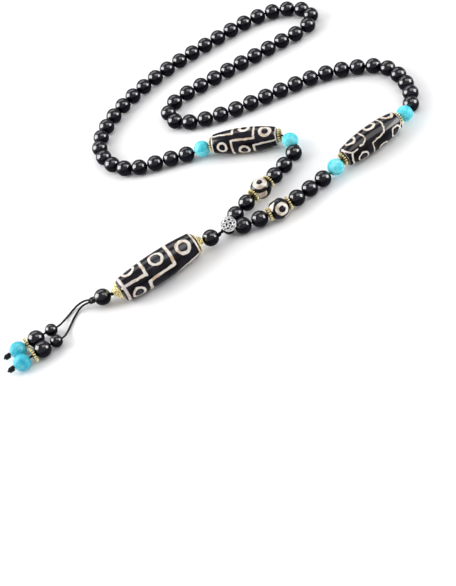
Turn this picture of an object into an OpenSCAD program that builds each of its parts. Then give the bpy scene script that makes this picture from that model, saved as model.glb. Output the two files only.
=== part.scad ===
// Dzi bead necklace lying on a flat surface, in millimetres. The origin is the middle of its footprint without
// the tassel, and +Z is up. A thread carries round black beads, turquoise beads, banded agate (dzi) beads and gold
// discs in one closed loop. Both its ends pass through a silver ball and a long pendant bead between two caps,
// and end in a tassel.

/* [Round beads] */
// Diameter of the black and the turquoise beads
bead_d = 8; // [7.6:0.1:8.4]
// Diameter of the few small black beads
small_d = 6; // [5:0.5:6]
// Free play on the thread between two neighbours
play = 0.12; // [0.12:0.02:0.2]

/* [Dzi beads] */
// Diameter of the round dzi beads
round_d = 10.2; // [9.6:0.1:10.4]
// Length of the round dzi beads along the thread
round_len = 9; // [8.8:0.1:9.4]
// Greatest diameter of the two long dzi beads on the loop
side_d = 12.6; // [11:0.2:13]
// Diameter of their flat ends
side_end_d = 9; // [8:0.5:10]
// Length of these beads
side_len = 33; // [32:0.2:34]
// Greatest diameter of the pendant bead
pendant_d = 14.3; // [13:0.1:14.3]
// Diameter of its flat ends
pendant_end_d = 11.4; // [10:0.2:12]
// Length of the pendant bead
pendant_len = 41.4; // [40:0.2:42]
// Rounding of the end edges of all long beads
edge_r = 0.9; // [0.5:0.1:1.2]

/* [Gold and silver] */
// Diameter of the gold discs over their beaded rim
disc_d = 7; // [6.6:0.1:7.4]
// Thickness of the gold discs
disc_t = 1.4; // [1.2:0.1:1.6]
// Grains round the rim of a gold disc
grain_count = 16; // [12:1:18]
// Diameter of the pendant's caps over their petals
cap_d = 9.6; // [9:0.1:10]
// Depth of the caps along the thread
cap_depth = 3.4; // [3:0.1:3.6]
// Petals round a cap
petal_count = 6; // [5:1:7]
// Diameter of the openwork silver ball
ball_d = 7.4; // [7:0.1:7.4]

/* [Thread] */
// Diameter of the thread inside the loop
thread_d = 0.8; // [0.6:0.1:0.9]
// Diameter of the two tassel cords
cord_d = 0.95; // [0.8:0.05:1]
// Bore of the beads on the loop
bore_d = 1.3; // [1.2:0.1:1.5]
// Bore of the pieces that carry two strands
wide_bore_d = 2.2; // [2.1:0.1:2.4]

/* [Hidden] */
$fn = 48;
up = [0, 0, 1];

// Black beads in the long run round the back of the neck
run_count = 58;
// Thread that a gold disc takes up with its play
disc_pitch = disc_t + play;

// What the loop's thread runs through, in order from the silver ball: the kind and how many of it in a row.
// A banded bead and the gold discs at its ends lie on one straight stretch. Only the disc at the sharp corner
// stands askew, between the first long bead and the turquoise bead.
LOOP_ROW = [
    ["black", 2], ["round", 1], ["black", 3], ["blue", 1], ["askew disc", 1], ["first side", 1], ["blue", 1],
    ["black", run_count],
    ["blue", 1], ["side", 1], ["blue", 1], ["black", 3], ["round", 1], ["black", 2], ["small", 1]
];
// Kind, length along the thread, height of its bore when its neighbours rest on the surface.
// A turquoise bead meets a disc that stands higher, so it takes a little more thread.
KINDS = [
    ["black", bead_d, bead_d / 2],
    ["blue", bead_d + 0.45, bead_d / 2],
    ["small", small_d, small_d / 2],
    ["round", round_len + 2 * disc_pitch + 0.16, round_d / 2],
    ["askew disc", disc_t + 0.7, side_d / 2 + 0.05],
    ["first side", side_len + disc_pitch, side_d / 2 + 0.05],
    ["side", side_len + 2 * disc_pitch, side_d / 2 + 0.05]
];
// The way that the loop lies, in plan: from the silver ball up the inner side, round the neck and back
LOOP_WAY = [
    [-16.8, -60.4], [-10, -56], [-3.2, -52.3], [8, -45.9], [14, -41.2], [20, -36.5], [26.1, -31.6],
    [28.2, -28], [26.6, -23.6], [23.2, -20.4], [5.8, -13.3], [-11.4, -6], [-19.5, -4.5], [-27, -2.5], [-43, -0.2],
    [-51.5, 1.8], [-58, 7], [-63, 17.7],
    [-63.5, 29.5], [-54.5, 44], [-42.5, 54.5], [-28.5, 62.5], [-13, 69], [2.5, 73.5], [18.5, 77.5], [34.5, 80.7],
    [47, 80.5], [58.5, 75.5], [64.6, 69], [64.2, 60], [57, 54.8], [48.5, 54], [32.5, 50.7], [16.5, 48], [0.5, 44.5],
    [-15.3, 41.3], [-23, 36.8], [-25.6, 28.3], [-20, 21], [-12.5, 17.7], [3.5, 15.3], [20, 15.3], [36, 15.7],
    [52, 15.5], [67.7, 11.6], [82.3, 4], [86.8, -3.5], [88.9, -15], [88, -26.5], [84.2, -34.7], [77.5, -40.5],
    [60.5, -46.8], [43.5, -53], [36, -56.5], [28.3, -58.8], [21, -62], [13.7, -65.4], [1.5, -68], [-6.7, -67.9],
    [-14.5, -67.6], [-19.8, -64.4], [-24, -59]
];

// Middle of the silver ball, which rides on the last small bead
ball_at = [-18.4, -68.7, 9.6];
// Bends of the thread between the loop's two ends and the ball
LEAD_OUT = [-17.2, -62.6, 5.2];
LEAD_BACK = [-20.9, -65, 4.6];

// The pendant's line from the mouth of the neck bead: what is on it, its heading in plan and its climb
pendant_from = [-24.6, -68.1, 4.9];
neck_unit = bead_d + cap_depth + 2 * play;
tail_gap = 2.1;
tail_unit = tail_gap + cap_depth + bead_d + 2 * play;
PENDANT_ROW = [
    ["neck", neck_unit, 189.2, 13.1],
    ["pendant", pendant_len + play, 194.6, -1],
    ["tail", tail_unit, 164, -9.5]
];
knot_d = 3.2;
knot_len = 2.8;
end_knot_d = 2.7;
end_knot_len = 2.4;

// The tassel's cords from the knot to their ends. The last stretch carries the beads, the one before it the
// small bead.
CORD_A = [
    [-91, -75.6, 4.3], [-92.4, -74.6, 3.9], [-94, -73.5, 3.2], [-96, -72.7, 2.2], [-98.2, -72.6, 1.3],
    [-100.4, -73.6, 0.8], [-102.4, -75.1, 0.6], [-104.4, -77, 0.8], [-106.2, -79, 1.4], [-107.8, -81.2, 2.3],
    [-109.2, -82.6, 3], [-115.8, -84.6, 4], [-137, -90.1, 4]
];
CORD_B = [
    [-91, -76.7, 4.1], [-92.5, -76.1, 3.6], [-94.2, -75.3, 2.8], [-96, -74.9, 1.9], [-97.8, -75.4, 1.1],
    [-99.5, -76.8, 0.6], [-101.2, -78.9, 0.6], [-102.8, -81.3, 0.6], [-104.3, -83.8, 0.8], [-105.7, -86.3, 1.2],
    [-107.2, -89, 2], [-108.5, -90.8, 3], [-114.6, -92.7, 4], [-136.7, -99, 4]
];
// Bare cord on the bead stretch: before the black bead, and between the gold disc and the turquoise bead
slack_a = [0.6, 0.1];
slack_b = [0.1, 1.6];

function unit(v) = v / norm(v);
function kind_of(name) = KINDS[search([name], KINDS)[0]];

// A smooth curve through a way's points, as short chords
steps = 10;
function slope(w, i) =
    let (a = w[max(i - 1, 0)], b = w[min(i + 1, len(w) - 1)], c = w[i])
    (b - a) / (norm(c - a) + norm(b - c));
function on_curve(w, i, t) =
    let (d = norm(w[i + 1] - w[i]))
    w[i] * (1 + 2 * t) * pow(1 - t, 2) + w[i + 1] * t * t * (3 - 2 * t)
    + (slope(w, i) * t * pow(1 - t, 2) - slope(w, i + 1) * t * t * (1 - t)) * d;
function curve(w) = concat(
    [for (i = [0:len(w) - 2]) for (t = [0:steps - 1]) on_curve(w, i, t / steps)],
    [w[len(w) - 1]]
);
// Length along a curve at each of its points
function run(c) = [for (i = 0, s = 0; i < len(c); s = s + norm(c[min(i + 1, len(c) - 1)] - c[i]), i = i + 1) s];

LOOP_CURVE = curve(LOOP_WAY);
LOOP_RUN = run(LOOP_CURVE);
LOOP_X = [for (i = [0:len(LOOP_RUN) - 1]) [LOOP_RUN[i], LOOP_CURVE[i].x]];
LOOP_Y = [for (i = [0:len(LOOP_RUN) - 1]) [LOOP_RUN[i], LOOP_CURVE[i].y]];
function loop_at(s) = [lookup(s, LOOP_X), lookup(s, LOOP_Y)];
function loop_heading(s) = let (m = max(s, 1)) unit(loop_at(m + 1) - loop_at(m - 1));

// The pieces of the loop one by one, and the stations on the curve where each one's share begins.
// A piece in a bend takes more thread than its own length, because round beads meet on the bend's inner side.
PIECES = [for (r = LOOP_ROW) for (i = [1:r[1]]) r[0]];
bend_reach = 0.52;
function turn(s, l) = loop_heading(s - bend_reach * l) * loop_heading(s + bend_reach * l);
function share(k, s) =
    let (l = kind_of(PIECES[k])[1] + play)
    l > 1.5 * bead_d ? l : l / sqrt((1 + min(turn(s, l), turn(s + l, l))) / 2);
function next_station(k, s) =
    let (l = share(k, s), a = l * l / norm(loop_at(s + l) - loop_at(s)))
    s + a * l / norm(loop_at(s + a) - loop_at(s));
STATIONS = [
    for (k = 0, s = 0; k <= len(PIECES); s = next_station(min(k, len(PIECES) - 1), s), k = k + 1) s
];
function rest_z(k) = kind_of(PIECES[k])[2];
function joint_z(k) = max(rest_z(max(k - 1, 0)), rest_z(min(k, len(PIECES) - 1)));
JOINTS = [for (k = [0:len(PIECES)]) let (p = loop_at(STATIONS[k])) [p.x, p.y, joint_z(k)]];
function places(kind) = [for (k = [0:len(PIECES) - 1]) if (PIECES[k] == kind) k];
BLACKS = places("black");
BLUES = places("blue");
ROUNDS = places("round");
SIDES = [places("first side")[0], places("side")[0]];
BANDED = [ROUNDS[0], SIDES[0], SIDES[1], ROUNDS[1]];
front_count = 5;

// Straight stretches on half of a barrel's side, and on the rounding of its edge
arc_steps = 10;
edge_steps = 5;

// The pendant line's corners
function heading(yaw, climb) = [cos(yaw) * cos(climb), sin(yaw) * cos(climb), sin(climb)];
PENDANT_AT = [
    for (i = 0, p = pendant_from; i <= len(PENDANT_ROW);
         p = let (r = PENDANT_ROW[min(i, 2)]) p + r[1] * heading(r[2], r[3]), i = i + 1) p
];
tail_way = unit(PENDANT_AT[3] - PENDANT_AT[2]);
knot_at = PENDANT_AT[3] + tail_way * knot_len / 2;

// A tube along a way: one ring of sides at every point, each in the plane that halves the bend
function way_tangent(w, i) =
    i == 0 ? unit(w[1] - w[0]) : i == len(w) - 1 ? unit(w[i] - w[i - 1])
    : unit(unit(w[i + 1] - w[i]) + unit(w[i] - w[i - 1]));
function ring(w, i, r, sides) =
    let (t = way_tangent(w, i), side = unit(cross(t, up)), over = cross(side, t))
    [for (j = [0:sides - 1]) w[i] + r * (cos(360 * j / sides) * side + sin(360 * j / sides) * over)];
module tube(w, d, sides = 8) {
    n = len(w);
    polyhedron(
        points = [for (i = [0:n - 1]) each ring(w, i, d / 2, sides)],
        faces = concat(
            [[for (j = [0:sides - 1]) j]],
            [for (i = [0:n - 2]) for (j = [0:sides - 1])
                let (a = i * sides + j, b = i * sides + (j + 1) % sides) [a, a + sides, b + sides, b]],
            [[for (j = [sides - 1:-1:0]) (n - 1) * sides + j]]
        )
    );
}
// Turns a piece's own +Z along the way from a to b, and sets it a stated distance from a
module along(a, b, dist) {
    d = unit(b - a);
    translate(a + d * dist) rotate([0, acos(d.z), atan2(d.y, d.x)]) children();
}
module in_share(k, past_middle = 0) {
    a = JOINTS[k];
    b = JOINTS[k + 1];
    along(a, b, norm(b - a) / 2 + past_middle) children();
}

module drilled_ball(d, bore) {
    difference() {
        sphere(d = d);
        cylinder(d = bore, h = d + 1, center = true);
    }
}
module black_bead(d = bead_d, bore = bore_d) color([0.05, 0.05, 0.07]) drilled_ball(d, bore);
module turquoise_bead() color([0.35, 0.82, 0.88]) drilled_ball(bead_d, bore_d);

// Half outline of a barrel: an arc of a large circle between two flat ends with round edges
function barrel_outline(d, end_d, l) =
    let (
        sag = (d - end_d) / 2,
        arc_r = (l * l / 4 + sag * sag) / (2 * sag),
        arc_x = d / 2 - arc_r,
        edge_y = l / 2 - edge_r,
        edge_x = arc_x + sqrt(pow(arc_r - edge_r, 2) - edge_y * edge_y),
        reach = atan2(edge_y, edge_x - arc_x),
        edge = [for (i = [0:edge_steps]) let (a = reach + (90 - reach) * i / edge_steps)
            [edge_x + edge_r * cos(a), edge_y + edge_r * sin(a)]]
    )
    concat(
        [[0, -l / 2]],
        [for (i = [edge_steps:-1:0]) [edge[i].x, -edge[i].y]],
        [for (i = [1 - arc_steps:arc_steps - 1]) let (a = reach * i / arc_steps)
            [arc_x + arc_r * cos(a), arc_r * sin(a)]],
        edge,
        [[0, l / 2]]
    );
module barrel(d, end_d, l, bore) {
    difference() {
        rotate_extrude() polygon(barrel_outline(d, end_d, l));
        cylinder(d = bore, h = l + 1, center = true);
    }
}
module banded_agate() color([0.16, 0.13, 0.12]) children();
module round_dzi_bead() banded_agate() {
    difference() {
        intersection() {
            sphere(d = round_d);
            cube([round_d + 1, round_d + 1, round_len], center = true);
        }
        cylinder(d = bore_d, h = round_d, center = true);
    }
}
module side_dzi_bead() banded_agate() barrel(side_d, side_end_d, side_len, bore_d);

module gold() color([0.93, 0.78, 0.36]) children();
module gold_disc_piece() gold() {
    grain_d = 1.4;
    linear_extrude(height = disc_t, center = true) difference() {
        union() {
            circle(d = disc_d - grain_d);
            for (i = [1:grain_count]) rotate(360 * i / grain_count) translate([(disc_d - grain_d) / 2, 0])
                circle(d = grain_d);
        }
        circle(d = bore_d);
    }
}
// A cap like a flower's trumpet: its hub meets a round bead at z = 0, its petals open towards the pendant
module cap_piece() gold() {
    wall = 0.5;
    hub_r = 1.9;
    petal_r = cap_d * 0.26;
    waist = [hub_r + 0.2, cap_depth * 0.35];
    flare = [hub_r + 1.2, cap_depth * 0.7];
    difference() {
        intersection() {
            rotate_extrude() polygon([
                [0, 0], [hub_r, 0], waist, flare, [cap_d / 2, cap_depth], [cap_d / 2 - wall, cap_depth],
                flare + [-wall, wall], waist + [-wall, wall], [0, wall]
            ]);
            linear_extrude(height = cap_depth) union() {
                circle(r = cap_d * 0.35);
                for (i = [1:petal_count]) rotate(360 * i / petal_count) translate([cap_d / 2 - petal_r, 0])
                    circle(r = petal_r);
            }
        }
        cylinder(d = wide_bore_d, h = 4 * wall, center = true);
        for (i = [1:petal_count]) rotate(360 * i / petal_count) translate([cap_d * 0.37, 0, -1])
            cylinder(d = cap_d * 0.14, h = cap_depth + 2);
        for (i = [1:petal_count]) rotate(360 * (i + 0.5) / petal_count) translate([cap_d * 0.29, 0, -1])
            cylinder(d = cap_d * 0.09, h = cap_depth + 2);
    }
}
// A hollow ball of silver openwork, with a wider hole where each thread passes its wall
module ball_piece() color([0.8, 0.8, 0.8]) {
    wall = 0.7;
    HOLE_ROWS = [[0, 8, 1.5], [42, 6, 1.3], [-42, 6, 1.3], [78, 2, 0.9], [-78, 2, 0.9]];
    difference() {
        sphere(d = ball_d);
        sphere(d = ball_d - 2 * wall);
        for (row = HOLE_ROWS) for (i = [1:row[1]]) rotate([0, 0, 360 * (i + row[0] / 84) / row[1]])
            rotate([0, 90 - row[0], 0]) cylinder(d = row[2], h = ball_d);
        for (p = [LEAD_OUT, LEAD_BACK, pendant_from]) {
            d = unit(p - ball_at);
            rotate([0, acos(d.z), atan2(d.y, d.x)]) cylinder(d = wide_bore_d, h = ball_d);
        }
    }
}
// Turns of cord laid round the strands
module knot_piece(d, l) color([0.07, 0.06, 0.07]) {
    turns = 3;
    cord_r = l / turns / 2;
    difference() {
        union() {
            cylinder(d = d - cord_r, h = l - cord_r, center = true);
            for (i = [0:turns - 1]) translate([0, 0, (i - 1) * 2 * cord_r])
                rotate_extrude() translate([d / 2 - cord_r, 0]) circle(r = cord_r);
        }
        cylinder(d = d > end_knot_d ? wide_bore_d : cord_d + 0.2, h = l + 1, center = true);
    }
}

module thread_tube(w, d = thread_d) color([0.07, 0.06, 0.07]) tube(w, d);
ball_in = ball_d / 2 - 1.2;
module loop_thread() {
    thread_tube(concat(
        [ball_at + unit(LEAD_OUT - ball_at) * ball_in, LEAD_OUT],
        JOINTS,
        [LEAD_BACK, ball_at + unit(LEAD_BACK - ball_at) * ball_in]
    ));
}
module pendant_thread() {
    way = concat([ball_at + unit(pendant_from - ball_at) * ball_in], PENDANT_AT);
    aside = [0, 0.5 * (thread_d + play), 0];
    for (m = [-1, 1]) thread_tube([for (p = way) p + m * aside]);
}
module upper_string() for (i = [front_count:30]) in_share(BLACKS[i]) black_bead();
module lower_string() for (i = [31:front_count + run_count - 1]) in_share(BLACKS[i]) black_bead();
module front_bead(i) in_share(BLACKS[i <= front_count ? i - 1 : i - 1 + run_count]) black_bead();
module junction_bead() in_share(len(PIECES) - 1) black_bead(small_d);
module turquoise(i) in_share(BLUES[i - 1]) turquoise_bead();
module round_dzi(i) in_share(ROUNDS[i - 1]) round_dzi_bead();
module side_dzi(i) in_share(SIDES[i - 1], i == 1 ? -disc_pitch / 2 : 0) side_dzi_bead();
module gold_disc(i) {
    k = BANDED[floor((i - 1) / 2)];
    body = PIECES[k] == "round" ? round_len : side_len;
    off = body / 2 + play + disc_t / 2;
    if (i == 3) in_share(k - 1) gold_disc_piece();
    else in_share(k, i == 4 ? off - disc_pitch / 2 : i % 2 == 1 ? -off : off) gold_disc_piece();
}
module silver_ball() translate(ball_at) ball_piece();
module neck_bead() along(PENDANT_AT[0], PENDANT_AT[1], bead_d / 2) black_bead(bore = wide_bore_d);
module upper_cap() along(PENDANT_AT[0], PENDANT_AT[1], bead_d + play) cap_piece();
module pendant_dzi() along(PENDANT_AT[1], PENDANT_AT[2], (pendant_len + play) / 2) banded_agate()
    barrel(pendant_d, pendant_end_d, pendant_len, wide_bore_d);
module lower_cap() along(PENDANT_AT[2], PENDANT_AT[3], tail_gap + cap_depth) rotate([180, 0, 0]) cap_piece();
module tail_bead() along(PENDANT_AT[2], PENDANT_AT[3], tail_unit - play - bead_d / 2)
    black_bead(bore = wide_bore_d);
module pendant_knot() along(PENDANT_AT[3], knot_at, knot_len / 2) knot_piece(knot_d, knot_len);

function way_end(w, back) = w[len(w) - 1 - back];
module tassel_cord(w) thread_tube(w, cord_d);
module on_tassel(w, dist) along(way_end(w, 1), way_end(w, 0), dist) children();
function black_dist(slack) = slack[0] + bead_d / 2;
function disc_dist(slack) = black_dist(slack) + bead_d / 2 + play + disc_t / 2;
function blue_dist(slack) = disc_dist(slack) + disc_t / 2 + slack[1] + bead_d / 2;
function knot_dist(slack) = blue_dist(slack) + bead_d / 2 + play + end_knot_len / 2;
module tassel_small_bead(w) along(way_end(w, 2), way_end(w, 1), norm(way_end(w, 1) - way_end(w, 2)) / 2)
    black_bead(small_d);
module tassel_piece(w, slack, p) {
    if (p == "cord") tassel_cord(w);
    if (p == "small_bead") tassel_small_bead(w);
    if (p == "black_bead") on_tassel(w, black_dist(slack)) black_bead();
    if (p == "disc") on_tassel(w, disc_dist(slack)) gold_disc_piece();
    if (p == "turquoise") on_tassel(w, blue_dist(slack)) turquoise_bead();
    if (p == "knot") on_tassel(w, knot_dist(slack)) knot_piece(end_knot_d, end_knot_len);
}

loop_thread();
pendant_thread();
upper_string();
lower_string();
for (i = [1:10]) front_bead(i);
junction_bead();
for (i = [1:4]) turquoise(i);
for (i = [1:2]) round_dzi(i);
for (i = [1:2]) side_dzi(i);
for (i = [1:8]) gold_disc(i);
silver_ball();
neck_bead();
upper_cap();
pendant_dzi();
lower_cap();
tail_bead();
pendant_knot();
for (p = ["cord", "small_bead", "black_bead", "disc", "turquoise", "knot"]) {
    tassel_piece(CORD_A, slack_a, p);
    tassel_piece(CORD_B, slack_b, p);
}
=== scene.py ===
import math
import bmesh
import bpy
import numpy as np
from mathutils import Matrix, Vector


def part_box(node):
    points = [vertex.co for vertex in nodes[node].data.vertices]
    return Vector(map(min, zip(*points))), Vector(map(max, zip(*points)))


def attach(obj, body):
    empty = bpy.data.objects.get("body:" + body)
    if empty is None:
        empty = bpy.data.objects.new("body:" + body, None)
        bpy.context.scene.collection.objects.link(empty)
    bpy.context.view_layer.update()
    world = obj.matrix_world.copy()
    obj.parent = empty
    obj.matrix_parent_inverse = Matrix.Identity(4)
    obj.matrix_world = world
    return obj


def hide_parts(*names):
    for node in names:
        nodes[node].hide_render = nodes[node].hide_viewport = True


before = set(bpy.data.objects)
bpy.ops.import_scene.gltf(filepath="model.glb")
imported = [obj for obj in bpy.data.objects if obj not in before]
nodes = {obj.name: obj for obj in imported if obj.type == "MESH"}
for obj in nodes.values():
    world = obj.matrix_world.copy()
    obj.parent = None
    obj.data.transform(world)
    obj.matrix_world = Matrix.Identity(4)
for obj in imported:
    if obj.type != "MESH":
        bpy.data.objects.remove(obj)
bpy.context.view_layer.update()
mm = 0.001
tiny = 1e-7      # m, points nearer than this are in one place

# The camera stands where the photograph was taken from
view = {
    "at": (-30.5, -632.0, 521.4),    # mm
    "down": 44.51,                   # degrees below the horizon
    "roll": 22.08,                   # degrees, clockwise
    "lens": 100.57,                  # mm
    "sensor": 36,                    # mm, along the picture's longer side
    "picture": 586,                  # pixels along that side. The lens is shifted by half a pixel.
    "sees": (0.05, 20),              # m, the nearest and the farthest
}


def placeCamera(v):
    data = bpy.data.cameras.new("camera")
    data.lens = v["lens"]
    data.sensor_width = v["sensor"]
    data.shift_x = -0.5 / v["picture"]
    data.shift_y = 0.5 / v["picture"]
    data.clip_start, data.clip_end = v["sees"]
    down, roll = math.radians(v["down"]), math.radians(v["roll"])
    ahead = Vector((0, math.cos(down), -math.sin(down)))
    level = Vector((1, 0, 0))
    upright = level.cross(ahead)
    right = math.cos(roll) * level - math.sin(roll) * upright
    up = math.sin(roll) * level + math.cos(roll) * upright
    turned = Matrix((right, up, -ahead)).transposed().to_4x4()
    camera = bpy.data.objects.new("camera", data)
    camera.matrix_world = Matrix.Translation(Vector(v["at"]) * mm) @ turned
    bpy.context.collection.objects.link(camera)
    bpy.context.scene.camera = camera
    bpy.context.scene.view_settings.view_transform = "Standard"     # the stones keep their own colours


placeCamera(view)
print("camera set")


# shader helper
class Shade:
    # One socket of a material. Arithmetic on it adds Math nodes.
    def __init__(self, tree, socket=None):
        self.tree = tree
        self.socket = socket

    def node(self, kind, settings=None, inputs=None, output=0):
        made = self.tree.nodes.new(kind)
        for key, value in (settings or {}).items():
            if key == "stops":
                ramp = made.color_ramp
                while len(ramp.elements) < len(value):
                    ramp.elements.new(0.5)
                for stop, (place, colour) in zip(ramp.elements, value):
                    stop.position = place
                    stop.color = (*colour, 1)
            else:
                setattr(made, key, value)
        for key, value in (inputs or {}).items():
            if isinstance(value, Shade):
                self.tree.links.new(value.socket, made.inputs[key])
            else:
                made.inputs[key].default_value = value
        return Shade(self.tree, made.outputs[output])

    def math(self, operation, *others):
        return self.node("ShaderNodeMath", {"operation": operation}, dict(enumerate((self,) + others)))

    def vector(self, operation, other, output=0):
        return self.node("ShaderNodeVectorMath", {"operation": operation}, {0: self, 1: other}, output)

    def part(self, index):         # 0, 1 and 2 are x, y and z
        return self.node("ShaderNodeSeparateXYZ", None, {0: self}, index)

    def __add__(self, other):
        return self.math("ADD", other)

    def __sub__(self, other):
        return self.math("SUBTRACT", other)

    def __rsub__(self, other):
        return self.node("ShaderNodeMath", {"operation": "SUBTRACT"}, {0: other, 1: self})

    def __mul__(self, other):
        return self.math("MULTIPLY", other)

    __radd__ = __add__
    __rmul__ = __mul__

    def least(self, other):
        return self.math("MINIMUM", other)

    def most(self, other):
        return self.math("MAXIMUM", other)

    def ramp(self, low, high):     # 1 below low, 0 above high, soft between
        return self.node("ShaderNodeMapRange", {"interpolation_type": "SMOOTHSTEP"},
                         {"Value": self, "From Min": low, "From Max": high, "To Min": 1.0, "To Max": 0.0})

    def mix(self, first, second):  # this socket as the factor between two colours
        first, second = (c if isinstance(c, Shade) else (*c, 1) for c in (first, second))
        return self.node("ShaderNodeMix", {"data_type": "RGBA"}, {0: self, 6: first, 7: second}, 2)

    def noise(self, scale, detail=2.0, rough=0.5, output="Fac"):
        return self.node("ShaderNodeTexNoise", None,
                         {"Vector": self, "Scale": scale, "Detail": detail, "Roughness": rough}, output)


def makeMaterial(name, paint, shaderValues):
    made = bpy.data.materials.new(name)
    made.use_nodes = True
    tree = made.node_tree
    shader = tree.nodes["Principled BSDF"]
    for key, value in shaderValues.items():
        shader.inputs[key].default_value = value
    place = Shade(tree).node("ShaderNodeTexCoord", output="Object")
    for key, value in paint(place).items():
        tree.links.new(value.socket, shader.inputs[key])
    made.diffuse_color = (0.5, 0.5, 0.5, 1)
    return made


def uneven(noise, p):
    return noise * p["uneven"] + (p["roughness"] - p["uneven"] / 2)


def bumped(height, p):
    return height.node("ShaderNodeBump", None,
                       {"Height": height, "Strength": p["bump"], "Distance": p["depth"] * mm})


# finishes, with each noise as its scale and detail, and each soft edge as the two values that it lies between
blackStone = {
    "body": (0.003, 0.003, 0.005), "cloud": (0.008, 0.007, 0.013),
    "clouds": (260, 3), "cloudEdge": (0.35, 0.75), "polish": (900, 2), "dents": (330, 2), "coat": 0.8,
    "roughness": 0.2, "uneven": 0.07, "bump": 0.10, "depth": 0.6,
    "shader": {"Specular IOR Level": 0.05, "Coat Roughness": 0.11, "Coat IOR": 2.4},
}
turquoise = {
    "deep": (0.02, 0.46, 0.62), "main": (0.10, 0.74, 0.84), "pale": (0.46, 0.94, 0.95),
    "tones": (0.34, 0.50, 0.68), "blotches": (240, 4, 0.6), "flecks": (1100, 3, 0.65), "flecked": 0.25,
    "veins": 3.0, "veinBends": (350, 2), "veinEdge": (0.0, 0.05), "veinDepth": 0.35,
    "roughness": 0.36, "uneven": 0.16, "bump": 0.12, "depth": 0.4,
    "shader": {"Specular IOR Level": 0.4},
}
seaTurquoise = dict(turquoise, deep=(0.01, 0.34, 0.50), main=(0.05, 0.54, 0.68), pale=(0.26, 0.80, 0.86))
goldPlate = {
    "main": (0.98, 0.80, 0.36), "patch": (1.0, 0.90, 0.52),
    "wear": (700, 3), "patchEdge": (0.42, 0.62), "dents": (1800, 2),
    "roughness": 0.28, "uneven": 0.2, "bump": 0.12, "depth": 0.2,
    "shader": {"Metallic": 0.65},
}
# a much darker gold for the hollows between the grains and behind the wires: painted shade
shadedGold = dict(goldPlate, main=(0.08, 0.05, 0.015), patch=(0.24, 0.16, 0.05), roughness=0.42,
               shader={"Metallic": 1.0})
silverPlate = {
    "main": (0.98, 0.98, 0.97), "patch": (0.48, 0.48, 0.49),
    "wear": (800, 3), "patchEdge": (0.36, 0.52), "dents": (2000, 2),
    "roughness": 0.345, "uneven": 0.25, "bump": 0.15, "depth": 0.2,
    "shader": {"Metallic": 1.0},
}
waxedCord = {
    "body": (0.003, 0.003, 0.003), "strand": (0.014, 0.012, 0.012),
    "twist": 520.0, "twistBends": 1.5, "fuzz": (4000, 2), "strandEdge": (0.1, 0.6),
    "roughness": 0.625, "uneven": 0.25, "bump": 0.5, "depth": 0.1,
    "shader": {"Specular IOR Level": 0.2},
}
polish = {"height": (0.36, 0.54), "edge": (0.50, 0.72)}


def glossOnTop(place, most):       # gloss only on the upper side, so that the underside shows no reflection of the bright floor and stays dark: painted shade on the underside. The gloss also fades where it is seen edge on
    height = place.node("ShaderNodeNewGeometry", output="Normal").part(2)
    facing = place.node("ShaderNodeLayerWeight", None, {"Blend": 0.5}, 1)
    return (1 - height.ramp(*polish["height"])) * facing.ramp(*polish["edge"]) * most


def paintBlack(place):
    p = blackStone
    return {
        "Base Color": place.noise(*p["clouds"]).ramp(*p["cloudEdge"]).mix(p["cloud"], p["body"]),
        "Roughness": uneven(place.noise(*p["polish"]), p),
        "Coat Weight": glossOnTop(place, p["coat"]),
        "Normal": bumped(place.noise(*p["dents"]), p),
    }


def turquoisePaint(p):
    def paint(place):
        fleck = place.noise(*p["flecks"])
        mottle = place.noise(*p["blotches"]) * (1 - p["flecked"]) + fleck * p["flecked"]
        stops = list(zip(p["tones"], (p["deep"], p["main"], p["pale"])))
        tone = mottle.node("ShaderNodeValToRGB", {"stops": stops}, {"Fac": mottle})
        bent = place.vector("ADD", place.noise(*p["veinBends"], output="Color"))
        vein = place.node("ShaderNodeTexVoronoi", {"feature": "DISTANCE_TO_EDGE"},
                          {"Vector": bent, "Scale": p["veins"]})
        return {
            "Base Color": (vein.ramp(*p["veinEdge"]) * p["veinDepth"]).mix(tone, p["deep"]),
            "Roughness": uneven(fleck, p),
            "Normal": bumped(fleck, p),
        }
    return paint


def metalPaint(p):
    def paint(place):
        wear = place.noise(*p["wear"])
        return {
            "Base Color": wear.ramp(*p["patchEdge"]).mix(p["main"], p["patch"]),
            "Roughness": uneven(wear, p),
            "Normal": bumped(place.noise(*p["dents"]), p),
        }
    return paint


def paintCord(place):
    p = waxedCord
    fuzz = place.noise(*p["fuzz"])
    twist = place.node("ShaderNodeTexWave", {"wave_type": "BANDS", "bands_direction": "DIAGONAL"},
                       {"Vector": place, "Scale": p["twist"], "Distortion": p["twistBends"], "Detail": 1.0})
    return {
        "Base Color": (twist * fuzz).ramp(*p["strandEdge"]).mix(p["body"], p["strand"]),
        "Roughness": uneven(fuzz, p),
        "Normal": bumped(twist, p),
    }


looks = {
    "black": makeMaterial("black stone", paintBlack, blackStone["shader"]),
    "turquoise": makeMaterial("turquoise", turquoisePaint(turquoise), turquoise["shader"]),
    "seaTurquoise": makeMaterial("deeper turquoise", turquoisePaint(seaTurquoise), seaTurquoise["shader"]),
    "gold": makeMaterial("gold plate", metalPaint(goldPlate), goldPlate["shader"]),
    "shadedGold": makeMaterial("gold with painted shade", metalPaint(shadedGold), shadedGold["shader"]),
    "silver": makeMaterial("silver", metalPaint(silverPlate), silverPlate["shader"]),
    "cord": makeMaterial("waxed cord", paintCord, waxedCord["shader"]),
}
print("finishes made")


# where the pieces lie
def threadLines(shortest=1.1 * mm):      # a thread's mesh has longer edges than this only along the thread
    lines = []
    for name in ("loop_thread", "pendant_thread", "tassel_cord_a", "tassel_cord_b"):
        mesh = nodes[name].data
        points = np.array([v.co for v in mesh.vertices])
        pairs = np.array([e.vertices[:] for e in mesh.edges])
        lines.append(np.stack([points[pairs[:, 0]], points[pairs[:, 1]]], 1))
    lines = np.concatenate(lines)
    reach = np.linalg.norm(lines[:, 1] - lines[:, 0], axis=1)
    return lines[reach > shortest]


threads = threadLines()


def rightward(way):
    return way if way.x > 0 else -way


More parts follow.
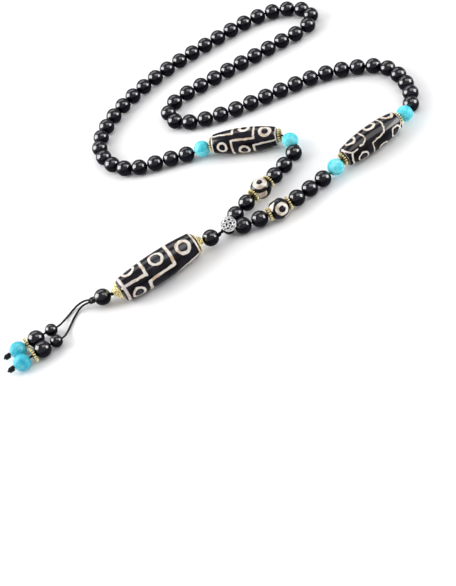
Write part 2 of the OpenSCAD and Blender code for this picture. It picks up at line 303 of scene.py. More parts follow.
def threadAt(centre, near=3 * mm):       # which way the thread runs through a piece's middle
    a, d = threads[:, 0], threads[:, 1] - threads[:, 0]
    c = np.array(centre)
    along = np.clip(((c - a) * d).sum(1) / (d * d).sum(1), 0.02, 0.98)     # clear of each edge's ends
    gap = np.linalg.norm(a + d * along[:, None] - c, axis=1)
    long = np.where(gap < near, np.linalg.norm(d, axis=1), 0)
    return rightward(Vector(d[int(long.argmax())]).normalized())


def flatAxis(name):       # the direction that most of a disc's surface faces
    pull = np.zeros((3, 3))
    for face in nodes[name].data.polygons:
        pull += face.area * np.outer(face.normal, face.normal)
    return rightward(Vector(np.linalg.eigh(pull)[1][:, -1]))


def middle(name):
    low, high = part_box(name)
    return (low + high) / 2


def seat(centre, axis):   # a piece made round its own Z goes here: X up, Y to the front, Z along the thread
    up = (Vector((0, 0, 1)) - axis * axis.z).normalized()
    front = axis.cross(up)
    return Matrix.Translation(centre) @ Matrix((up, front, axis)).transposed().to_4x4()


def ballsOf(name):        # the middles of a string's beads, each bead being a loose part of the node's mesh
    bm = bmesh.new()
    bm.from_mesh(nodes[name].data)
    bmesh.ops.remove_doubles(bm, verts=bm.verts, dist=10 * tiny)
    seen = set()
    found = []
    for first in bm.verts:
        if first in seen:
            continue
        seen.add(first)
        waiting = [first]
        low, high = first.co.copy(), first.co.copy()
        while waiting:
            v = waiting.pop()
            low = Vector(map(min, low, v.co))
            high = Vector(map(max, high, v.co))
            for w in (e.other_vert(v) for e in v.link_edges):
                if w not in seen:
                    seen.add(w)
                    waiting.append(w)
        found.append((low + high) / 2)
    bm.free()
    return found


# mesh helpers
def asMesh(bm, name):
    mesh = bpy.data.meshes.new(name)
    bm.to_mesh(mesh)
    bm.free()
    return mesh


def finish(bm, name, look, node, smooth=40):     # the piece replaces the solid of this node
    mesh = asMesh(bm, name)
    mesh.polygons.foreach_set("use_smooth", [True] * len(mesh.polygons))
    mesh.set_sharp_from_angle(angle=math.radians(smooth))
    piece = bpy.data.objects.new(name, mesh)
    bpy.context.collection.objects.link(piece)
    mesh.materials.append(looks[look])
    # gold pieces also get the darker gold, which paints shade into their hollows
    if look == "gold":
        mesh.materials.append(looks["shadedGold"])
    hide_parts(node)
    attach(piece, "root")


def addCopy(bm, mesh, matrix):
    before = len(bm.verts)
    bm.from_mesh(mesh)
    bm.verts.ensure_lookup_table()
    bmesh.ops.transform(bm, matrix=matrix, verts=bm.verts[before:])


def roundCurve(name, points, radius, resolution, closed=False):
    curve = bpy.data.curves.new(name, "CURVE")
    curve.dimensions = "3D"
    curve.bevel_depth = radius
    curve.bevel_resolution = resolution
    curve.use_fill_caps = not closed
    spline = curve.splines.new("POLY")
    spline.points.add(len(points) - 1)
    for p, co in zip(spline.points, points):
        p.co = (*co, 1)
    spline.use_cyclic_u = closed
    return curve


def wire(bm, points, radius, closed=False, resolution=2):     # a round wire through points, added as mesh
    curve = roundCurve("wire", points, radius, resolution, closed)
    holder = bpy.data.objects.new("wire", curve)
    mesh = bpy.data.meshes.new_from_object(holder)
    bm.from_mesh(mesh)
    bpy.data.objects.remove(holder)
    bpy.data.curves.remove(curve)
    bpy.data.meshes.remove(mesh)


def spun(points, steps, closed=True):     # a profile turned round the Z axis
    bm = bmesh.new()
    corners = [bm.verts.new(p) for p in points]
    rim = [bm.edges.new(pair) for pair in zip(corners, corners[1:])]
    if closed:
        rim.append(bm.edges.new((corners[-1], corners[0])))
    bmesh.ops.spin(bm, geom=rim + corners, cent=(0, 0, 0), axis=(0, 0, 1), angle=math.tau, steps=steps,
                   use_merge=True)
    bmesh.ops.remove_doubles(bm, verts=bm.verts, dist=tiny)
    return bm


def profile(section):     # radius and height in mm, as points to spin
    return [(r * mm, 0, z * mm) for r, z in section]


def bevelEnds(bm, crease, width, segments, innermost=0):     # the sharp level rings of a turned bead
    cut = [e for e in bm.edges if e.is_manifold and abs(e.verts[0].co.z - e.verts[1].co.z) < tiny
           and e.calc_face_angle(0) > crease and e.verts[0].co.xy.length > innermost * mm]
    bmesh.ops.bevel(bm, geom=cut, offset=width * mm, offset_type="OFFSET", segments=segments, profile=0.5,
                    affect="EDGES", material=-1)
    bmesh.ops.recalc_face_normals(bm, faces=bm.faces)


def roundAngles(count):
    return [math.tau * i / count for i in range(count)]


def addGrain(bm, spot, radius):
    bmesh.ops.create_uvsphere(bm, u_segments=10, v_segments=7, radius=radius, matrix=Matrix.Translation(spot))


# round beads
bead = {"across": 8.0, "long": 8.1, "bore": 1.3, "lip": 0.12, "lipSteps": 2, "around": 36, "rows": 22}
smallBead = dict(bead, across=6.0, long=6.0)
wideBead = dict(bead, bore=2.2)
stringLay = {
    "clear": 1.15,       # the ball's rows within this many bore radii are cut away for the bore
    "turn": 2.4,         # radians from each bead to the next, so that their facets don't line up
    "near": 1.1 * mm,    # how far a bead's middle may be from its thread
}


def drilledBall(p):
    radius, bore = p["across"] / 2 * mm, p["bore"] / 2 * mm
    bm = bmesh.new()
    bmesh.ops.create_uvsphere(bm, u_segments=p["around"], v_segments=p["rows"], radius=radius)
    poles = [v for v in bm.verts if v.co.xy.length < tiny]
    bmesh.ops.delete(bm, geom=poles, context="VERTS")
    crossed = [v for v in bm.verts if not v.is_boundary and v.co.xy.length < bore * stringLay["clear"]]
    bmesh.ops.delete(bm, geom=crossed, context="VERTS")
    loose = [v for v in bm.verts if not v.link_faces]
    bmesh.ops.delete(bm, geom=loose, context="VERTS")
    rims = [v for v in bm.verts if v.is_boundary]
    narrower = bore / rims[0].co.xy.length
    higher = math.sqrt(radius ** 2 - bore ** 2) / abs(rims[0].co.z)
    bmesh.ops.scale(bm, vec=(narrower, narrower, higher), verts=rims)
    edges = [e for e in bm.edges if e.is_boundary]
    bmesh.ops.bridge_loops(bm, edges=edges)
    lip = [e for e in bm.edges if all(abs(v.co.xy.length - bore) < tiny for v in e.verts)
           and abs(e.verts[0].co.z - e.verts[1].co.z) < tiny]
    bmesh.ops.bevel(bm, geom=lip, offset=p["lip"] * mm, offset_type="OFFSET", segments=p["lipSteps"],
                    profile=0.5, affect="EDGES", material=-1)
    bmesh.ops.scale(bm, vec=(1, 1, p["long"] / p["across"]), verts=bm.verts)
    bmesh.ops.recalc_face_normals(bm, faces=bm.faces)
    return asMesh(bm, "drilled ball")


balls = {"plain": drilledBall(bead), "small": drilledBall(smallBead), "wide": drilledBall(wideBead)}


def beadString(name, shape, look, node):
    bm = bmesh.new()
    for k, centre in enumerate(ballsOf(node)):
        turn = Matrix.Rotation(stringLay["turn"] * k, 4, "Z")
        addCopy(bm, balls[shape], seat(centre, threadAt(centre, stringLay["near"])) @ turn)
    finish(bm, name, look, node)


for name in ("upper_string", "lower_string"):
    beadString(name + "_beads", "plain", "black", name)
for i in range(1, 11):
    beadString(f"front_black_{i}", "plain", "black", f"front_bead_{i}")
for name, shape in (("junction_bead", "small"), ("neck_bead", "wide"), ("tail_bead", "wide"),
                    ("tassel_small_bead_a", "small"), ("tassel_small_bead_b", "small"),
                    ("tassel_black_bead_a", "plain"), ("tassel_black_bead_b", "plain")):
    beadString(name + "_round", shape, "black", name)
for name in ("turquoise_1", "turquoise_2", "turquoise_3", "turquoise_4"):
    beadString(name + "_round", "plain", "turquoise", name)
for name in ("tassel_turquoise_a", "tassel_turquoise_b"):
    beadString(name + "_round", "plain", "seaTurquoise", name)
print("round beads placed")


# gold discs
disc = {
    "across": 7.0, "thick": 1.4, "bore": 1.3, "web": 0.5, "hub": 3.1, "slope": 0.2, "groove": 0.25,
    "grain": (0.92, 0.74, 1.4),    # outwards, round the rim and along the bore
    "grains": 16, "around": 48,
}


def goldDisc(p):
    inner, outer, hub = p["bore"] / 2, (p["across"] - p["grain"][0]) / 2, p["hub"] / 2
    half = [(inner, p["thick"] / 2), (hub - p["slope"], p["thick"] / 2), (hub, p["web"] / 2),
            (outer - p["groove"], p["web"] / 2)]
    bm = spun(profile([(r, -z) for r, z in half] + half[::-1]), p["around"])
    bmesh.ops.recalc_face_normals(bm, faces=bm.faces)
    # the disc's body under and between the grains takes the darker gold: painted shade in the grooves
    for face in bm.faces:
        face.material_index = 1
    for a in roundAngles(p["grains"]):       # balls 1 mm across, stretched to lie across the rim
        lie = Matrix.Translation((outer * mm, 0, 0)) @ Matrix.Diagonal((*p["grain"], 1))
        bmesh.ops.create_uvsphere(bm, u_segments=12, v_segments=9, radius=0.5 * mm,
                                  matrix=Matrix.Rotation(a, 4, "Z") @ lie)
    return asMesh(bm, "gold disc")


discMesh = goldDisc(disc)
for name in [f"gold_disc_{i}" for i in range(1, 9)] + ["tassel_disc_a", "tassel_disc_b"]:
    bm = bmesh.new()
    addCopy(bm, discMesh, seat(middle(name), flatAxis(name)))
    finish(bm, name + "_grained", "gold", name, 50)
print("gold discs placed")


# banded beads
agate = {
    "body": (0.0025, 0.002, 0.003), "smoke": (0.012, 0.011, 0.018), "pupil": (0.038, 0.038, 0.052),
    "brown": (0.045, 0.020, 0.011), "ivory": (0.80, 0.77, 0.70), "tan": (0.62, 0.45, 0.31),
    # The lilac on the white towards the end at negative mm along is a painted reflection, a lavender sheen.
    "paintedSheen": (0.64, 0.56, 0.59), "paintedSheenEdge": (-18.5, -13.0), "paintedSheenShare": 0.6,
    "grain": (2.2, 3, 0.6), "ragged": (1.6, 3, 0.6), "waver": (0.33, 1),
    "warmth": (0.30, 2), "warmEdge": (0.38, 0.50), "warmShare": 0.7,
    "smokes": (0.16, 3), "smokeEdge": (0.38, 0.58), "pupilEdge": (0.3, 0.9),
    "lineEdge": (-0.12, 0.06), "lineRougher": 0.12, "lineHeight": 0.6, "grainHeight": 0.1,
    "tanEdge": (-0.45, -0.1), "tanShare": 0.15,          # of the ivory next to its edge
    "brownEdge": (0.0, 0.45), "brownShare": 0.8,         # of the dark stone next to the ivory
    "coat": 0.6,
    "roughness": 0.13, "uneven": 0.06, "bump": 0.12, "depth": 0.3,
    "shader": {"Specular IOR Level": 0.07, "Coat Roughness": 0.12, "Coat IOR": 2.0},
}
barrel = {
    "around": 72, "steps": 14, "edge": 0.9, "bevel": 0.405, "edgeSteps": 5, "crease": 0.5, "boreRim": 2,
    "ragged": 0.5,
}
# An eye is mm along, degrees round, and the radii of its white and its pupil. A line's points are mm along
# and degrees round. The bands are where the white at either end starts and stops, in mm along. Lines waver
# by wobble mm, and clear is how many mm of black lie round the grey of a pupil.
longBeads = {
    "pendant_dzi": {
        "across": 14.3, "end": 11.4, "long": 41.4, "bore": 2.2,
        "eyes": [(13.6, 33, 3.9, 2.25), (-0.1, 13, 3.8, 2.5), (-13.8, -24, 3.7, 2.3), (-14.2, 101, 3.5, 2.2),
                 (13.6, 158, 3.8, 2.3), (0.2, 187, 3.8, 2.4), (13.4, -78, 3.7, 2.3), (-0.2, -92, 3.8, 2.4),
                 (-13.9, 212, 3.7, 2.3)],
        "lineWidth": 1.6,
        "lines": [[(7.2, -46), (6.7, -10), (6.2, 66), (6.0, 72), (-0.3, 73), (-7.6, 77), (-8.3, 140),
                   (-8.3, 188), (-20, 190)],
                  [(-7.2, -120), (-7.3, -30), (-7.7, 45), (-20, 38)],
                  [(20, 108), (13, 114), (6.5, 126), (6.3, 220), (-8, 224), (-7.6, 240)],
                  [(7.2, -46), (20, -34)]],
        "bands": (-20.2, -18.8, 19.2, 20.15), "wobble": 0.55, "clear": 0.0,
    },
    "side_dzi_1": {
        "across": 12.6, "end": 9.0, "long": 33.0, "bore": 1.3,
        "eyes": [(11.4, 12, 3.3, 1.6), (0.8, -20, 3.2, 1.6), (-10.7, 74, 2.8, 1.55), (0.2, 100, 3.0, 1.7),
                 (11.2, 165, 3.1, 1.7), (-10.7, 190, 3.1, 1.7), (0.2, 215, 3.1, 1.7), (11.2, -85, 3.1, 1.7),
                 (-10.8, -70, 3.1, 1.7)],
        "lineWidth": 1.1,
        "lines": [[(5.9, -60), (5.8, 46), (-5.6, 44), (-5.6, 140), (5.6, 142), (5.6, 200)],
                  [(-4.9, -60), (-4.9, 12), (-16.5, 0)],
                  [(16.5, 71), (5.3, 78), (5.0, 124)],
                  [(-5.2, -60), (5.9, -60)],
                  [(16.5, 250), (5.5, 252), (5.5, 200), (-5.4, 205), (-5.4, 250), (-16, 252)]],
        "bands": (-16.3, -15.5, 16.1, 16.5), "wobble": 0.4, "clear": 0.7,
    },
    "side_dzi_2": {
        "across": 12.6, "end": 9.0, "long": 33.0, "bore": 1.3,
        "eyes": [(12.3, -18, 3.3, 2.0), (1.4, -17, 3.3, 2.0), (-10.3, -20, 3.1, 1.9), (-9.1, 104, 3.0, 2.2),
                 (2.7, 124, 2.9, 2.1), (11.6, 98, 3.3, 2.4), (-9.4, 215, 3.0, 2.1), (2.2, 225, 3.0, 2.1),
                 (12, 215, 3.1, 2.1)],
        "lineWidth": 0.75,
        "lines": [[(7.0, -50), (7.0, 12), (6.4, 38), (5.0, 58), (1.3, 60), (-2.6, 66), (-3.1, 84),
                   (-2.4, 160), (-3.0, 172), (-16.5, 176)],
                  [(-4.5, -50), (-4.5, 14), (-4.6, 31), (-6.9, 42), (-8.6, 44)],
                  [(-10.6, 48), (-13.7, 50), (-14.6, 84), (-14.6, 130)],
                  [(-16.2, -20), (-15.4, 26), (-13.8, 50)],
                  [(16.5, 60), (9, 158), (8, 200), (7, 310)], [(-4.5, -50), (-16.5, -60)]],
        "bands": (-16.4, -16.3, 15.9, 16.4), "wobble": 0.75, "clear": 0.7,
    },
}


def barrelRadius(p, z):
    sag = (p["across"] - p["end"]) / 2
    arc = (p["long"] ** 2 / 4 + sag ** 2) / (2 * sag)
    return p["across"] / 2 - arc + math.sqrt(arc ** 2 - z ** 2)


def longMesh(p):
    q = barrel
    half, edge, bore = p["long"] / 2, q["edge"], p["bore"] / 2
    side = [(barrelRadius(p, z), z) for z in np.linspace(-(half - edge), half - edge, 2 * q["steps"] + 1)]
    section = [(bore, -half), (side[0][0] - edge, -half), *side, (side[-1][0] - edge, half), (bore, half)]
    bm = spun(profile(section), q["around"])
    bevelEnds(bm, q["crease"], q["bevel"], q["edgeSteps"], q["boreRim"])
    return bm


def ownPlace(place, matrix):      # a bead's own coordinates in mm: X up, Y to the front, Z along its bore
    return place.node("ShaderNodeMapping", {"vector_type": "TEXTURE"},
                      {"Vector": place, "Location": matrix.to_translation(), "Rotation": matrix.to_euler(),
                       "Scale": (mm, mm, mm)})


def nearer(first, second):
    return second if first is None else first.least(second)


def strokes(place, lines, radius):        # distance in mm from drawn lines
    around = place.part(1).math("ARCTAN2", place.part(0))
    along = place.part(2)
    nearest = None
    for line in lines:
        for (t1, a1), (t2, a2) in zip(line, line[1:]):
            turn, reach = math.radians((a1 + a2) / 2), math.radians(a2 - a1) / 2 * radius
            run = (t2 - t1) / 2
            sideways = (around - turn).math("WRAP", math.pi, -math.pi) * radius
            spot = place.node("ShaderNodeCombineXYZ", None, {0: along - (t1 + t2) / 2, 1: sideways})
            dot = spot.vector("DOT_PRODUCT", (run, reach, 0), "Value")
            part = (dot * (1 / (run * run + reach * reach))).most(-1.0).least(1.0)
            foot = part.node("ShaderNodeVectorMath", {"operation": "SCALE"},
                             {0: (run, reach, 0), "Scale": part})
            nearest = nearer(nearest, spot.vector("DISTANCE", foot, "Value"))
    return nearest


def markGap(place, radiusAt, marks):      # distance in mm from the nearest of some marks on the bead's skin
    nearest = None
    for t, a in marks:
        r, turn = radiusAt(t), math.radians(a)
        spot = (r * math.cos(turn), r * math.sin(turn), t)
        nearest = nearer(nearest, place.vector("DISTANCE", spot, "Value"))
    return nearest


def eyeRings(place, p):                   # distance in mm from the white rings, and how deep inside a pupil
    rings, pupils = None, None
    for white, pupil in sorted({eye[2:] for eye in p["eyes"]}):
        marks = [eye[:2] for eye in p["eyes"] if eye[2:] == (white, pupil)]
        seen = markGap(place, lambda z: barrelRadius(p, z), marks)
        inside = pupil - seen
        rings = nearer(rings, (seen - white).most(inside))
        pupils = inside if pupils is None else pupils.most(inside)
    return rings, pupils


def wavering(place, size):                # the hand-drawn unevenness of the lines
    push = place.noise(*agate["waver"], output="Color").vector("SUBTRACT", (0.5, 0.5, 0.5))
    scaled = push.node("ShaderNodeVectorMath", {"operation": "SCALE"}, {0: push, "Scale": 2 * size})
    return place.vector("ADD", scaled)


def raggedness(place, size):
    return place.noise(*agate["ragged"]) * size - size / 2


def agateColours(own, gap, pupils):       # gap is mm from the white lines, less than 0 inside them
    p = agate
    grain = own.noise(*p["grain"])
    mask = gap.ramp(*p["lineEdge"])
    warm = own.noise(*p["warmth"]) * p["warmShare"] + grain * (1 - p["warmShare"])
    ivory = warm.ramp(*p["warmEdge"]).mix(p["ivory"], p["tan"])
    # painted reflection: the white turns lilac towards the end at negative mm along
    ivory = (own.part(2).ramp(*p["paintedSheenEdge"]) * p["paintedSheenShare"]).mix(ivory, p["paintedSheen"])
    ivory = (gap.ramp(*p["tanEdge"]) * p["tanShare"] + (1 - p["tanShare"])).mix(p["tan"], ivory)
    body = own.noise(*p["smokes"]).ramp(*p["smokeEdge"]).mix(p["body"], p["smoke"])
    body = (1 - pupils.ramp(*p["pupilEdge"])).mix(body, p["pupil"])
    body = (gap.ramp(*p["brownEdge"]) * p["brownShare"]).mix(body, p["brown"])
    return {
        "Base Color": mask.mix(body, ivory),
        "Roughness": uneven(grain, p) + mask * p["lineRougher"],
        "Coat Weight": glossOnTop(own, p["coat"]),
        "Normal": bumped(mask * p["lineHeight"] + grain * p["grainHeight"], p),
    }


def longPaint(p, matrix):
    def paint(place):
        own = ownPlace(place, matrix)
        shaky = wavering(own, p["wobble"])
        ring, pupils = eyeRings(shaky, p)
        line = strokes(shaky, p["lines"], p["across"] / 2) - p["lineWidth"] / 2
        along = own.part(2)
        a, b, c, d = p["bands"]
        band = (a - along).most(along - b).least((c - along).most(along - d))
        gap = ring.least(line).least(band) + raggedness(own, barrel["ragged"])
        return agateColours(own, gap, pupils - p["clear"])
    return paint


def placeAgate(name, p, beadPaint, beadMesh):
    matrix = seat(middle(name), threadAt(middle(name)))
    looks[name] = makeMaterial(name + " stone", beadPaint(p, matrix), agate["shader"])
    bm = beadMesh(p)
    bmesh.ops.transform(bm, matrix=matrix, verts=bm.verts)
    finish(bm, name + "_banded", name, name)


for name, p in longBeads.items():
    placeAgate(name, p, longPaint, longMesh)
print("long banded beads placed")

turnedBall = {
    "around": 56, "steps": 24, "bevel": 0.2, "edgeSteps": 3, "crease": 0.4,
    "ragged": 0.4, "wobble": 0.35, "clear": 0.5,
}
roundBeads = {      # eyes and patches are mm along and degrees round
    "round_dzi_1": {
        "across": 10.2, "long": 9.0, "bore": 1.3, "pupil": 1.4, "white": 3.7, "patch": 2.9, "dark": 1.7,
        "eyes": [(-0.1, 9), (0.2, 168), (-0.2, 262)], "patches": [(-3.2, 78), (2.2, 215), (-2.4, 310)],
    },
    "round_dzi_2": {
        "across": 10.2, "long": 9.0, "bore": 1.3, "pupil": 1.65, "white": 3.3, "patch": 2.4, "dark": 1.3,
        "eyes": [(0.5, 58), (0.2, 190), (-0.3, 305)], "patches": [(-3.3, 4), (2.4, 130), (-2.4, 248)],
    },
}


def roundPaint(p, matrix):
    def radiusAt(z):
        return math.sqrt(p["across"] ** 2 / 4 - z ** 2)

    def paint(place):
        own = ownPlace(place, matrix)
        shaky = wavering(own, turnedBall["wobble"])
        seen = markGap(shaky, radiusAt, p["eyes"])
        white = (seen - p["white"]).most(p["pupil"] - seen)
        patch = (markGap(shaky, radiusAt, p["patches"]) - p["patch"]).most(p["white"] + p["dark"] - seen)
        gap = white.least(patch) + raggedness(own, turnedBall["ragged"])
        return agateColours(own, gap, p["pupil"] - turnedBall["clear"] - seen)
    return paint


def roundMesh(p):
    q = turnedBall
    radius, half, bore = p["across"] / 2, p["long"] / 2, p["bore"] / 2
    heights = radius * np.sin(np.linspace(-1, 1, q["steps"] + 1) * math.asin(half / radius))
    side = [(math.sqrt(radius ** 2 - z ** 2), z) for z in heights]
    bm = spun(profile([(bore, -half), *side, (bore, half)]), q["around"])
    bevelEnds(bm, q["crease"], q["bevel"], q["edgeSteps"])
    return bm


for name, p in roundBeads.items():
    placeAgate(name, p, roundPaint, roundMesh)
print("round banded beads placed")


# caps of gold wire
cap = {
    "deep": 3.4, "petals": 6, "wire": 0.26, "rim": 0.36, "plate": 0.2, "grain": 0.46,
    "outline": [(1.45, 0.25), (1.9, 1.2), (2.9, 2.3), (4.46, 3.06)],    # radius and height, mm
    "rings": 26, "around": 120, "holeSteps": 16, "lobeSteps": 25, "collarSteps": 36,
    "lobe": (2.3, 2.25), "lobeArc": 1.75,    # how far out its middle is, its radius, and radians each way
    "ring": 3.35,                            # the plate has no notches between its lobes inside this radius
    "holes": [(3.45, 0, 0.74), (3.0, 0.5, 0.5), (2.2, 0, 0.36)],    # how far out, petals on, and radius
    "grains": [(3.62, 0.5, 0.9), (2.2, 0.5, 0.8)],                  # how far out, petals on, and scale
    "collars": [(1.6, 0.4), (2.0, 0.3)],                            # radius and wire
}


def capPoint(p, r, angle):
    height = float(np.interp(r, *zip(*p["outline"])))
    return Vector((r * math.cos(angle), r * math.sin(angle), height)) * mm


def capHoles(p):                  # where the openings lie in plan: x, y and radius
    for r, step, size in p["holes"]:
        for k in range(p["petals"]):
            a = math.tau * (k + step) / p["petals"]
            yield r * math.cos(a), r * math.sin(a), size


def capPlate(p):
    reach = np.linspace(p["outline"][0][0], p["outline"][-1][0], p["rings"])
    bm = spun([capPoint(p, r, 0) for r in reach], p["around"], closed=False)
    centre, lobe = p["lobe"]
    lobes = [(centre * math.cos(a), centre * math.sin(a)) for a in roundAngles(p["petals"])]
    spare = []
    for face in bm.faces:         # what lies outside the lobes or in an opening is cut away
        x, y = face.calc_center_median().xy / mm
        outside = math.hypot(x, y) > p["ring"] and all(math.hypot(x - a, y - b) > lobe for a, b in lobes)
        if outside or any(math.hypot(x - a, y - b) < size for a, b, size in capHoles(p)):
            spare.append(face)
    bmesh.ops.delete(bm, geom=spare, context="FACES")
    bmesh.ops.recalc_face_normals(bm, faces=bm.faces)
    bmesh.ops.solidify(bm, geom=bm.faces[:], thickness=p["plate"] * mm)
    for face in bm.faces:         # the plate behind the wires takes the darker gold: painted shade
        face.material_index = 1
    return bm


def capMesh(p):
    bm = capPlate(p)
    centre, lobe = p["lobe"]
    for x, y, size in capHoles(p):
        loop = []
        for a in roundAngles(p["holeSteps"]):
            u, v = x + size * math.cos(a), y + size * math.sin(a)
            loop.append(capPoint(p, math.hypot(u, v), math.atan2(v, u)))
        wire(bm, loop, p["wire"] * mm, True)
    for turn in roundAngles(p["petals"]):
        arc = []
        for a in np.linspace(-p["lobeArc"], p["lobeArc"], p["lobeSteps"]):
            u, v = centre + lobe * math.cos(a), lobe * math.sin(a)
            arc.append(capPoint(p, min(math.hypot(u, v), p["outline"][-1][0]), turn + math.atan2(v, u)))
        wire(bm, arc, p["rim"] * mm)
        for r, step, size in p["grains"]:
            addGrain(bm, capPoint(p, r, turn + math.tau * step / p["petals"]), p["grain"] * size * mm)
    for r, thick in p["collars"]:
        wire(bm, [capPoint(p, r, a) for a in roundAngles(p["collarSteps"])], thick * mm, True)
    return asMesh(bm, "cap")


capShape = capMesh(cap)
capSeats = {         # whose line the cap follows, and mm from the solid's place towards the pendant bead
    "upper_cap": ("upper_cap", -0.3),
    "lower_cap": ("pendant_dzi", 0.8),
}


def capSeat(name, inLineWith, towards):
    centre = middle(name)
    axis = threadAt(middle(inLineWith))
    if (middle("pendant_dzi") - centre).dot(axis) < 0:
        axis = -axis
    return seat(centre + axis * towards * mm, axis) @ Matrix.Translation((0, 0, -cap["deep"] / 2 * mm))


for name, places in capSeats.items():
    bm = bmesh.new()
    addCopy(bm, capShape, capSeat(name, *places))
    finish(bm, name + "_wirework", "gold", name, 60)
print("caps placed")


# silver ball
ball = {
    "across": 7.4, "wire": 0.28, "grain": 0.34, "core": 2.7, "tilt": 0.5,
    "ring": 0.88, "oval": 0.12,                                # a ring's radius and how far it is off round
    "ringSteps": 18, "shift": 0.25,                            # the shift is of a row's grains, in grains
    "rows": [(0, 9), (36, 8), (-36, 8), (67, 4), (-67, 4)],    # latitude and how many rings
    "grains": [(17, 9), (-17, 9), (52, 6), (-52, 6), (90, 1), (-90, 1)],
}


def silverBall(p):
    radius = p["across"] / 2 - p["wire"]
    bm = bmesh.new()

    def onBall(lat, lon, ring=0, a=0):
        centre = Vector((math.cos(lat) * math.cos(lon), math.cos(lat) * math.sin(lon), math.sin(lat)))
        east = Vector((-math.sin(lon), math.cos(lon), 0))
        north = centre.cross(east)
        aside = (east * math.cos(a) + north * math.sin(a)) * ring
        return (centre * radius + aside).normalized() * radius * mm

    for lat, count in p["rows"]:
        for i in range(count):
            lon = math.tau * (i + (0.5 if lat else 0)) / count
            oval = [onBall(math.radians(lat), lon, p["ring"] * (1 + p["oval"] * math.cos(2 * a + i)), a)
                    for a in roundAngles(p["ringSteps"])]
            wire(bm, oval, p["wire"] * mm, True)
    for lat, count in p["grains"]:
        for i in range(count):
            addGrain(bm, onBall(math.radians(lat), math.tau * (i + p["shift"]) / count), p["grain"] * mm)
    return bm


ballPlace = Matrix.Translation(middle("silver_ball"))
bm = silverBall(ball)
bmesh.ops.transform(bm, matrix=ballPlace @ Matrix.Rotation(ball["tilt"], 4, "X"), verts=bm.verts)
finish(bm, "silver_openwork", "silver", "silver_ball", 60)

bm = bmesh.new()              # a dark ball inside, standing in for the shade in the hollow ball: painted shade that shows through the openings
bmesh.ops.create_icosphere(bm, subdivisions=4, radius=ball["core"] * mm, matrix=ballPlace)
finish(bm, "silver_painted_shade", "cord", "silver_ball")
print("silver ball placed")


# knots and threads
tasselKnot = {"across": 2.7, "long": 3.3, "turns": 4, "bore": 0.95, "shift": -0.3}
knots = {
    "pendant_knot": {"across": 3.2, "long": 2.8, "turns": 3, "bore": 2.2, "shift": 0},
    "tassel_knot_a": tasselKnot,
    "tassel_knot_b": tasselKnot,
}
knotLay = {          # how thick the cord is wound, and the end that comes back underneath
    "steps": 24, "thick": 1.02, "backTurns": 1.5, "backSteps": 40, "backOut": 0.96, "backThick": 0.9,
}


def winding(radius, turns, rise, steps):     # a helix about Z, in mm
    angles = np.linspace(0, math.tau * turns, steps)
    return [Vector((radius * math.cos(a), radius * math.sin(a), (a / (math.tau * turns) - 0.5) * rise)) * mm
            for a in angles]


def knotMesh(p):
    q = knotLay
    strand = (p["across"] - p["bore"]) / 4
    radius, rise = p["across"] / 2 - strand, p["long"] - 2 * strand
    bm = bmesh.new()
    wire(bm, winding(radius, p["turns"], rise, q["steps"] * p["turns"] + 1), strand * q["thick"] * mm)
    back = winding(radius * q["backOut"], q["backTurns"], -rise, q["backSteps"])
    wire(bm, back, strand * q["backThick"] * mm)
    return bm


for name, p in knots.items():
    way = threadAt(middle(name))
    bm = knotMesh(p)
    bmesh.ops.transform(bm, matrix=seat(middle(name) + way * p["shift"] * mm, way), verts=bm.verts)
    finish(bm, name + "_wound", "cord", name)

nodes["loop_thread"].data.materials.clear()
nodes["loop_thread"].data.materials.append(looks["cord"])

pair = {
    "across": 0.9, "apart": 0.46, "bulge": 0.68, "lift": 0.4, "loops": 2, "steps": 16,
    "inBall": 0.8,        # of the ball's radius, where the threads start
    "inKnot": 0.2,        # of the way back from the knot's middle to the tail bead's, where they end
}


def pairedThread(p):      # two threads that cross between the ball and the neck bead, then run side by side
    start, neck, stone = middle("silver_ball"), middle("neck_bead"), middle("pendant_dzi")
    tail, knot = middle("tail_bead"), middle("pendant_knot")
    mouth = neck + threadAt(neck) * bead["across"] / 2 * mm
    half = threadAt(stone) * longBeads["pendant_dzi"]["long"] / 2 * mm
    stops = [neck, stone + half, stone - half, tail, knot + (tail - knot) * p["inKnot"]]
    run = mouth - start
    first = ball["across"] / 2 * mm * p["inBall"] / run.length
    bm = bmesh.new()
    for sign in (-1, 1):
        side = Vector((0, 0, 1)).cross(run).normalized() * sign
        path = []
        for i in range(p["steps"] + 1):
            f = i / p["steps"]
            phase = math.pi * p["loops"] * f
            lift = Vector((0, 0, p["lift"] * mm * sign * math.cos(phase)))
            swing = side * p["bulge"] * mm * math.sin(phase)
            path.append(start + run * (first + (1 - first) * f) + swing + lift)
        path += [stop + side * p["apart"] * mm for stop in stops]
        wire(bm, path, p["across"] / 2 * mm, resolution=3)
    return bm


finish(pairedThread(pair), "pendant_thread_pair", "cord", "pendant_thread")

tassel = {
    "across": 0.95,
    "a": [(-91, -75.6, 4.3), (-92.4, -74.6, 3.9), (-94, -73.5, 3.2), (-96, -72.7, 2.2), (-98.2, -72.6, 1.3),
          (-100.4, -73.6, 0.8), (-102.4, -75.1, 0.6), (-104.4, -77, 0.8), (-106.2, -79, 1.4),
          (-107.8, -81.2, 2.3), (-109.2, -82.6, 3), (-115.8, -84.6, 4), (-137, -90.1, 4)],
    "b": [(-91, -76.7, 4.1), (-92.5, -76.1, 3.6), (-94.2, -75.3, 2.8), (-96, -74.9, 1.9), (-97.8, -75.4, 1.1),
          (-99.5, -76.8, 0.6), (-101.2, -78.9, 0.6), (-102.8, -81.3, 0.6), (-104.3, -83.8, 0.8),
          (-105.7, -86.3, 1.2), (-107.2, -89, 2), (-108.5, -90.8, 3), (-114.6, -92.7, 4), (-136.7, -99, 4)],
}
for side in "ab":
    points = [Vector(p) * mm for p in tassel[side]]
    data = roundCurve(f"tassel_cord_{side}_waxed", points, tassel["across"] / 2 * mm, 4)
    cord = bpy.data.objects.new(f"tassel_cord_{side}_waxed", data)
    bpy.context.collection.objects.link(cord)
    data.materials.append(looks["cord"])
    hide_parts(f"tassel_cord_{side}")
    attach(cord, "root")
print("knots and cords made")


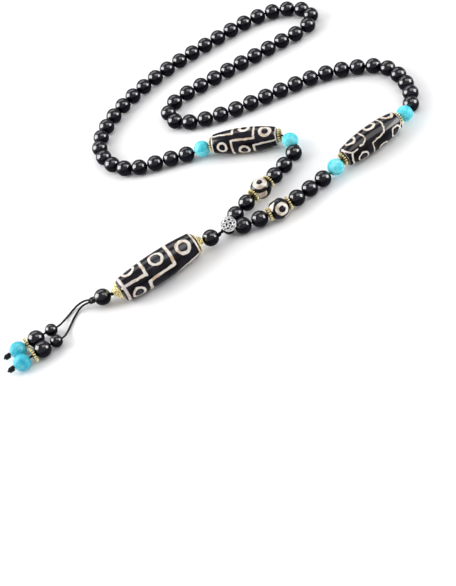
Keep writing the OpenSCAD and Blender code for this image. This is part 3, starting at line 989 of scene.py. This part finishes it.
# floor and lights
studio = {
    "paper": {"Base Color": (0.96, 0.96, 0.96, 1), "Roughness": 0.9, "Specular IOR Level": 0.1},
    "floorHalf": 2.5,    # m, half its side
    "sky": (0.95, 0.94, 1.0), "skyStrength": 0.17,
    # Each lamp: which way it stands and how far in m, which way its second side runs, and both sides in m
    "lamps": [
        {"from": (-0.85, 0.21, 0.48), "far": 1.0, "along": (0.17, -0.70, 0.69), "size": (0.66, 0.90),
         "radiance": 5.0},
        {"from": (0.92, -0.24, 0.33), "far": 1.0, "along": (0.0, 0.9, 0.3), "size": (0.55, 0.60),
         "radiance": 5.0},
        {"from": (0.48, -0.20, 0.85), "far": 1.1, "along": (0.85, 0.0, -0.5), "size": (0.6, 1.0),
         "radiance": 1.2},
        {"from": (-0.10, 0.70, 0.70), "far": 1.2, "along": (1.0, 0.1, 0.0), "size": (0.6, 1.3),
         "radiance": 1.2},
        {"from": (-0.90, 0.42, 0.14), "far": 1.3, "along": (0.42, 0.9, 0.0), "size": (0.35, 1.5),
         "radiance": 1.2},
        {"from": (0.0, 0.0, 1.0), "far": 1.6, "along": (1, 0, 0), "size": (3.0, 3.0),
         "radiance": 0.62, "glossy": False},
    ],
}


def floorAndLamps(p):
    bm = bmesh.new()
    bmesh.ops.create_grid(bm, x_segments=2, y_segments=2, size=p["floorHalf"])
    floor = bpy.data.objects.new("floor", asMesh(bm, "floor"))
    bpy.context.collection.objects.link(floor)
    paper = bpy.data.materials.new("floor")
    paper.use_nodes = True
    shader = paper.node_tree.nodes["Principled BSDF"]
    for key, value in p["paper"].items():
        shader.inputs[key].default_value = value
    floor.data.materials.append(paper)
    world = bpy.data.worlds.new("sky")
    world.use_nodes = True
    background = world.node_tree.nodes["Background"]
    background.inputs[0].default_value = (*p["sky"], 1)
    background.inputs[1].default_value = p["skyStrength"]
    bpy.context.scene.world = world
    for i, lamp in enumerate(p["lamps"]):
        data = bpy.data.lights.new(f"lamp {i}", "AREA")
        data.shape = "RECTANGLE"
        data.size, data.size_y = lamp["size"]
        data.energy = lamp["radiance"] * math.pi * data.size * data.size_y
        out = Vector(lamp["from"]).normalized()
        across = Vector(lamp["along"]).cross(out).normalized()
        turned = Matrix((across, out.cross(across), out)).transposed().to_4x4()
        holder = bpy.data.objects.new(f"lamp {i}", data)
        holder.matrix_world = Matrix.Translation(out * lamp["far"]) @ turned
        holder.visible_camera = False
        holder.visible_glossy = lamp.get("glossy", True)
        bpy.context.collection.objects.link(holder)


floorAndLamps(studio)
print("floor and lamps set")
